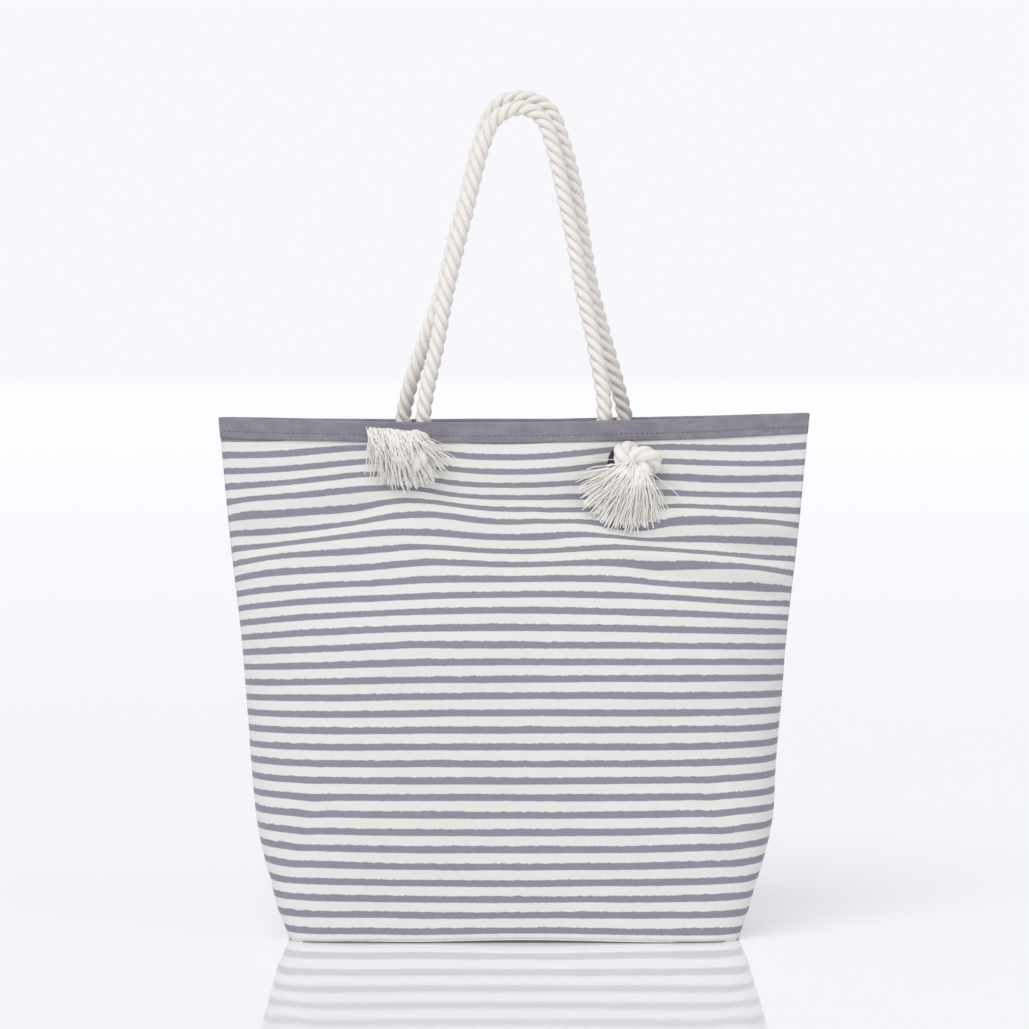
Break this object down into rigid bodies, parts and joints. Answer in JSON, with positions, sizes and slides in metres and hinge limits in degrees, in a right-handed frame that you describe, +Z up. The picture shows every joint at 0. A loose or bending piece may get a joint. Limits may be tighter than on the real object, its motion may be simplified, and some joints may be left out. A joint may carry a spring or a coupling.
{
  "type": "beach bag",
  "caption": "Open canvas beach tote with printed stripes, a bound rim, a boxed base and twisted rope handles knotted through eyelets.",
  "frame": {"origin": "middle of the base, on the surface the bag stands on", "axes": "+Z up, the front panel faces -Y, +X to the right seen from the front"},
  "size_m": [0.5062, 0.1296, 0.715],
  "materials": {
    "striped_canvas": "printed cotton canvas, cream with grey brush stripes",
    "lining_cotton": "plain natural cotton",
    "binding_canvas": "plain grey canvas",
    "cotton_rope": "three-strand twisted cotton",
    "gunmetal": "dark plated eyelet"
  },
  "bodies": {
    "bag": {"back_left_eyelet": "gunmetal", "back_left_knot": "cotton_rope", "back_left_rope_end": "cotton_rope", "back_left_tassel": "cotton_rope", "back_left_washer": "gunmetal", "back_right_eyelet": "gunmetal", "back_right_knot": "cotton_rope", "back_right_rope_end": "cotton_rope", "back_right_tassel": "cotton_rope", "back_right_washer": "gunmetal", "binding_back": "binding_canvas", "binding_front": "binding_canvas", "front_left_eyelet": "gunmetal", "front_left_knot": "cotton_rope", "front_left_rope_end": "cotton_rope", "front_left_tassel": "cotton_rope", "front_left_washer": "gunmetal", "front_right_eyelet": "gunmetal", "front_right_knot": "cotton_rope", "front_right_rope_end": "cotton_rope", "front_right_tassel": "cotton_rope", "front_right_washer": "gunmetal", "lining_back_panel": "lining_cotton", "lining_base": "lining_cotton", "lining_front_panel": "lining_cotton", "outer_back_panel": "striped_canvas", "outer_base": "striped_canvas", "outer_front_panel": "striped_canvas"},
    "front_handle": {"front_rope_handle": "cotton_rope"},
    "back_handle": {"back_rope_handle": "cotton_rope"}
  },
  "joints": [
    {"name": "front_handle_swing", "type": "hinge", "parent": "bag", "child": "front_handle", "pos_m": [0, -0.0353, 0.43637], "axis": [1, 0, 0], "range_deg": [0, 130]},
    {"name": "back_handle_swing", "type": "hinge", "parent": "bag", "child": "back_handle", "pos_m": [0, 0.03334, 0.43657], "axis": [-1, 0, 0], "range_deg": [0, 130]}
  ]
}
